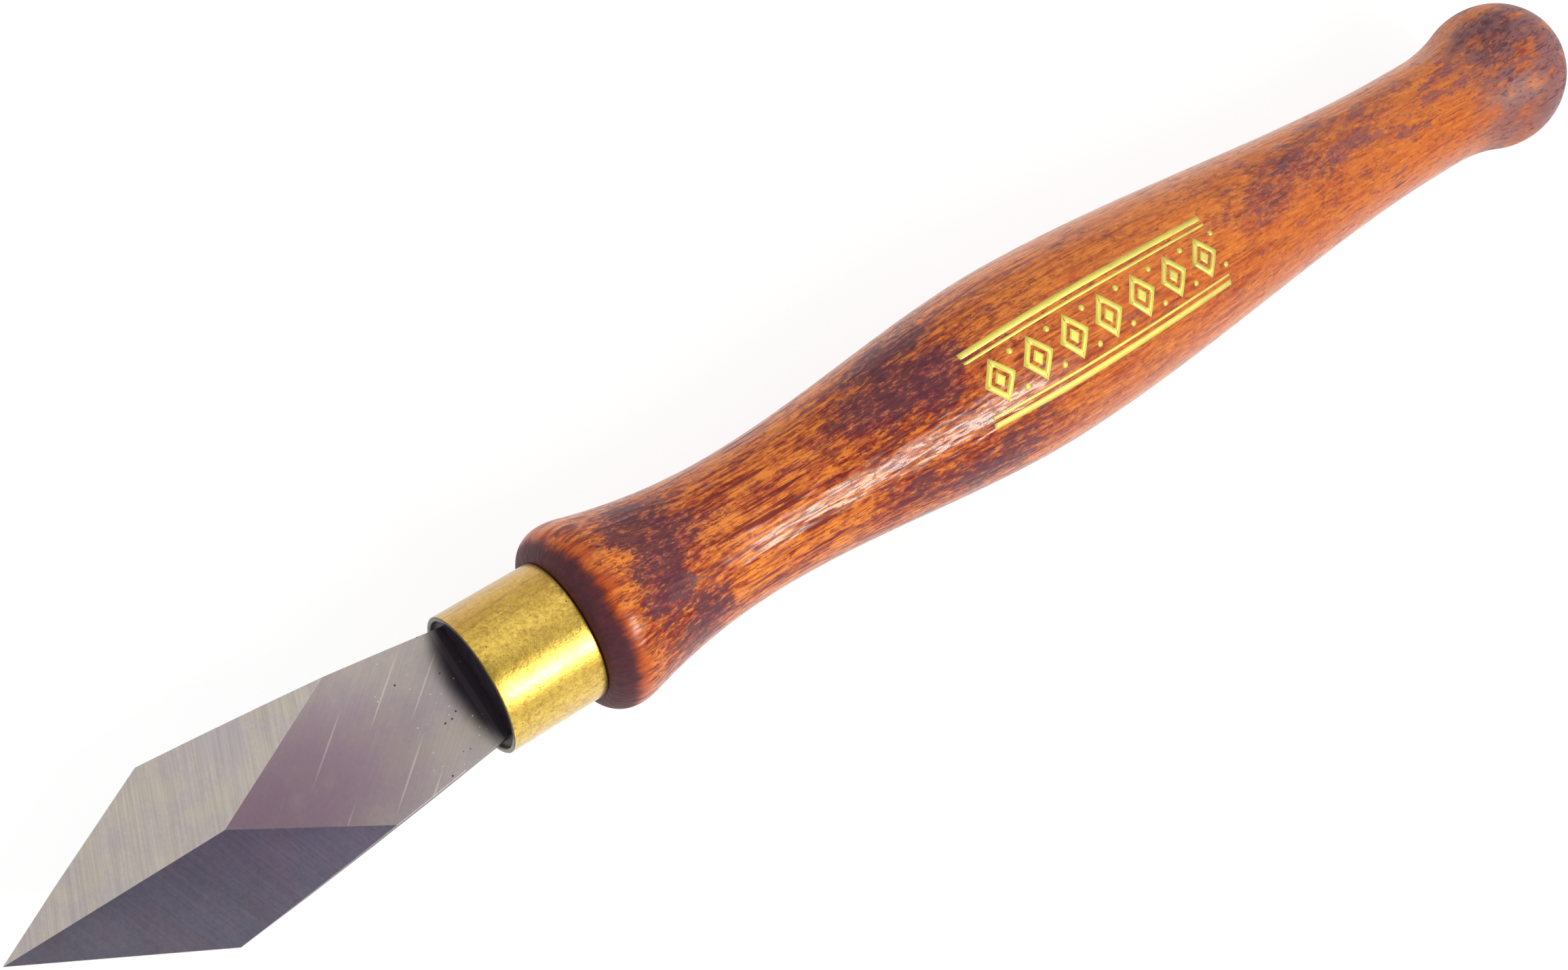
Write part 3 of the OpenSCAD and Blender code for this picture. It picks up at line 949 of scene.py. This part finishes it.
def lay_grinding(bm, blade):
    """Lays a UV map along each face's grinding lines, and marks the two bevels."""
    lay = bm.loops.layers.uv.new("grinding")
    facet = bm.faces.layers.float_vector.new("facet")
    for face in bm.faces:
        face.smooth = True
        normal = face.normal
        tilt = math.degrees(math.acos(max(-1.0, min(1.0, normal.z))))
        on_bevel = BEVEL_TILT[0] < tilt < BEVEL_TILT[1]
        left, right = on_bevel and normal.y > 0, on_bevel and normal.y < 0
        face[facet] = (float(left), float(right), 0.0)
        turn = blade.bevel_lines if on_bevel else blade.flat_lines
        if right:
            turn = -turn
        along = Vector((math.cos(turn), math.sin(turn), 0))
        if abs(normal.z) < UPRIGHT:
            along = Vector((1, 0, 0))
        along = (along - normal * along.dot(normal)).normalized()
        across = normal.cross(along)
        for loop in face.loops:
            loop[lay].uv = (loop.vert.co.dot(along), loop.vert.co.dot(across))
    for edge in bm.edges:
        edge.smooth = edge.calc_face_angle(0) < SMOOTH_ANGLE


# Stage


def lay_floor(settings):
    """A floor that lights the knife plainly and looks white, with soft shadows, where it is seen."""
    bm = bmesh.new()
    bmesh.ops.create_grid(bm, x_segments=FLOOR_CELLS, y_segments=FLOOR_CELLS, size=FLOOR_REACH)
    mesh = mesh_from(bm, "floor")
    material = bpy.data.materials.new("pale_floor")
    material.use_nodes = True
    t = Tree(material.node_tree)
    t.tree.nodes.remove(t.tree.nodes["Principled BSDF"])
    rays = t.add("ShaderNodeLightPath").outputs
    seen = t.larger(rays["Is Camera Ray"], rays["Is Glossy Ray"], rays["Is Transmission Ray"])
    plain = t.out("ShaderNodeBsdfDiffuse", {"Color": (*settings.colours.floor, 1)})
    half = t.out("ShaderNodeBsdfDiffuse", {"Color": (*[FLOOR_SHADE] * 3, 1)})
    white = t.out("ShaderNodeEmission", {"Color": (1, 1, 1, 1), "Strength": FLOOR_LIGHT})
    lifted = t.out("ShaderNodeAddShader", {0: half, 1: white})
    mixed = t.out("ShaderNodeMixShader", {0: seen, 1: plain, 2: lifted})
    t.feed(t.tree.nodes["Material Output"].inputs["Surface"], mixed)
    mesh.materials.append(material)
    floor = placed("floor", mesh)


def light_surround(stage):
    """An even white surround with a lighter side and a dark ceiling, each with a soft edge."""
    world = bpy.data.worlds.new("studio")
    world.use_nodes = True
    background = world.node_tree.nodes["Background"]
    background.inputs["Color"].default_value = (1, 1, 1, 1)
    t = Tree(world.node_tree)
    toward = t.add("ShaderNodeTexCoord").outputs["Generated"]

    def cap(place, edges, low, high):
        near = t.vector("DOT_PRODUCT", toward, Vector(place).normalized())
        wide, narrow = (math.cos(math.radians(edge)) for edge in edges)
        return t.between(near, wide, narrow, low, high)

    glow = cap(stage.glow_place, GLOW_EDGES, stage.surround, stage.surround + stage.glow)
    level = cap(stage.ceiling_place, CEILING_EDGES, glow, stage.ceiling)
    t.feed(background.inputs["Strength"], level)
    bpy.context.scene.world = world


def hang_lamp(name, middle, direction, size, radiance):
    lamp = bpy.data.lights.new(name, "AREA")
    lamp.shape = "RECTANGLE"
    lamp.size, lamp.size_y = size
    lamp.color = LAMP_TINT
    lamp.energy = radiance * math.pi * size[0] * size[1]
    holder = placed(name, lamp)
    direction = Vector(direction).normalized()
    holder.location = middle + direction * LAMP_DISTANCE
    along = (Vector((1, 0, 0)) - direction * direction.x).normalized()
    turn = Matrix((along, direction.cross(along), direction)).transposed()
    holder.rotation_euler = turn.to_euler()


def aim_camera(stage):
    lens = bpy.data.cameras.new("camera")
    lens.sensor_width = SENSOR_WIDTH
    lens.lens = stage.lens
    lens.shift_x, lens.shift_y = stage.shift
    lens.clip_start, lens.clip_end = CAMERA_CLIP
    camera = placed("camera", lens)
    place = Vector(stage.camera_place)
    ahead = (Vector(stage.camera_aim) - place).normalized()
    right = ahead.cross(Vector((0, 0, 1))).normalized()
    up = right.cross(ahead)
    turned_up = up * math.cos(stage.camera_roll) + right * math.sin(stage.camera_roll)
    turned_right = ahead.cross(turned_up)
    turn = Matrix((turned_right, turned_up, -ahead)).transposed()
    camera.matrix_world = Matrix.Translation(place) @ turn.to_4x4()
    bpy.context.scene.camera = camera


# Operators


def axis_height():
    low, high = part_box("ferrule")
    return (low.z + high.z) / 2


def settle(piece, node, slot):
    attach(piece, "root")
    if node:
        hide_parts(node)


class KnifePiece:
    """What the operators of the pieces share."""

    bl_options = {"REGISTER", "UNDO"}

    def turn(self, context, node, slot, profile, finish):
        """Turns a profile round the knife's axis and puts the shape in its CAD node's place."""
        settings = context.scene.marking_knife
        sizes = getattr(settings, node)
        height = axis_height()
        piece = grown(
            node + "_turned", profile_mesh(node + "_profile", profile(sizes)),
            lathe_tree("turned_" + node),
            Material=finish(settings, height), Steps_round=sizes.rounds,
            Point_to_middle=settings.handle.end / 2, Axis_height=height,
        )
        face_outward(piece.data)
        settle(piece, node, slot)
        return {"FINISHED"}


class MARKING_KNIFE_OT_handle(KnifePiece, bpy.types.Operator):
    """Turns the beech handle from its profile and lacquers it"""

    bl_idname = "marking_knife.handle"
    bl_label = "Turn Handle"

    def execute(self, context):
        return self.turn(context, "handle", "handle_wood", handle_profile, wood_finish)


class MARKING_KNIFE_OT_ferrule(KnifePiece, bpy.types.Operator):
    """Turns the brass ferrule with its rounded rims"""

    bl_idname = "marking_knife.ferrule"
    bl_label = "Turn Ferrule"

    def execute(self, context):
        return self.turn(context, "ferrule", "ferrule_brass", ferrule_profile, brass_finish)


class MARKING_KNIFE_OT_blade(KnifePiece, bpy.types.Operator):
    """Eases the blade's edges and lays the grinding lines on its facets"""

    bl_idname = "marking_knife.blade"
    bl_label = "Grind Blade"

    def execute(self, context):
        settings = context.scene.marking_knife
        bm = eased_blade(settings.blade.edge_break)
        lay_grinding(bm, settings.blade)
        mesh = mesh_from(bm, "blade_ground")
        mesh.materials.append(steel_finish(settings, axis_height()))
        settle(placed("blade_ground", mesh), "blade", "blade_steel")
        return {"FINISHED"}


class MARKING_KNIFE_OT_bedding(KnifePiece, bpy.types.Operator):
    """Gives the tang's bedding its dark resin"""

    bl_idname = "marking_knife.bedding"
    bl_label = "Resin Bedding"

    def execute(self, context):
        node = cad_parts["tang_bedding"]
        resin = resin_finish(context.scene.marking_knife, axis_height())
        for slot in node.material_slots:
            slot.material = resin
        return {"FINISHED"}


class MARKING_KNIFE_OT_foil(KnifePiece, bpy.types.Operator):
    """Lays the gold foil band of lozenges on the belly"""

    bl_idname = "marking_knife.foil"
    bl_label = "Foil Band"

    def execute(self, context):
        settings = context.scene.marking_knife
        foil = settings.foil
        handle = bpy.data.objects.get("handle_turned")
        if handle is None:
            raise RuntimeError("the foil band needs the turned handle")
        height = axis_height()
        piece = grown(
            "foil_band", foil_motif(foil), foil_tree("foil_band"),
            Material=foil_finish(settings, height), Repeats=foil.repeats,
            Start=foil.start - settings.handle.end / 2, Length=foil.span,
            Width=foil.width, Line=foil.line, Turn=foil.turn, Lift=foil.lift,
            Axis_height=height, Radius=settings.handle.belly_diameter / 2, Handle=handle,
        )
        solid = piece.modifiers.new("thickness", "SOLIDIFY")
        solid.thickness = foil.thickness
        solid.offset = -1
        settle(piece, None, "handle_wood")
        return {"FINISHED"}


class MARKING_KNIFE_OT_stage(KnifePiece, bpy.types.Operator):
    """Sets up the floor, the lamps and the camera"""

    bl_idname = "marking_knife.stage"
    bl_label = "Stage"

    def execute(self, context):
        settings = context.scene.marking_knife
        stage = settings.stage
        lay_floor(settings)
        light_surround(stage)
        middle = Vector(stage.camera_aim)
        hang_lamp("key_lamp", middle, *KEY_LAMP, stage.key_level)
        hang_lamp("side_lamp", middle, *SIDE_LAMP, stage.side_level)
        aim_camera(stage)
        context.scene.view_settings.view_transform = "Standard"
        return {"FINISHED"}


class MARKING_KNIFE_PT_panel(bpy.types.Panel):
    """Lists the steps of dressing the knife"""

    bl_label = "Marking Knife"
    bl_space_type = "VIEW_3D"
    bl_region_type = "UI"
    bl_category = "Marking Knife"

    def draw(self, context):
        settings = context.scene.marking_knife
        for step in STEPS:
            self.layout.operator(step.bl_idname)
        for part in KnifeSettings.__annotations__:
            group = getattr(settings, part)
            box = self.layout.box()
            for name in group.__annotations__:
                box.prop(group, name)


GROUPS = (KnifeHandle, KnifeFerrule, KnifeBlade, KnifeFoil, KnifeColours, KnifeStage, KnifeSettings)
STEPS = (
    MARKING_KNIFE_OT_handle, MARKING_KNIFE_OT_ferrule, MARKING_KNIFE_OT_blade,
    MARKING_KNIFE_OT_bedding, MARKING_KNIFE_OT_foil, MARKING_KNIFE_OT_stage,
)


def register():
    for cls in (*GROUPS, *STEPS, MARKING_KNIFE_PT_panel):
        bpy.utils.register_class(cls)
    bpy.types.Scene.marking_knife = bpy.props.PointerProperty(type=KnifeSettings)


def unregister():
    del bpy.types.Scene.marking_knife
    for cls in reversed((*GROUPS, *STEPS, MARKING_KNIFE_PT_panel)):
        bpy.utils.unregister_class(cls)


def main():
    register()
    bpy.ops.marking_knife.handle()
    bpy.ops.marking_knife.ferrule()
    bpy.ops.marking_knife.blade()
    bpy.ops.marking_knife.bedding()
    bpy.ops.marking_knife.foil()
    bpy.ops.marking_knife.stage()


if __name__ == "__main__":
    main()
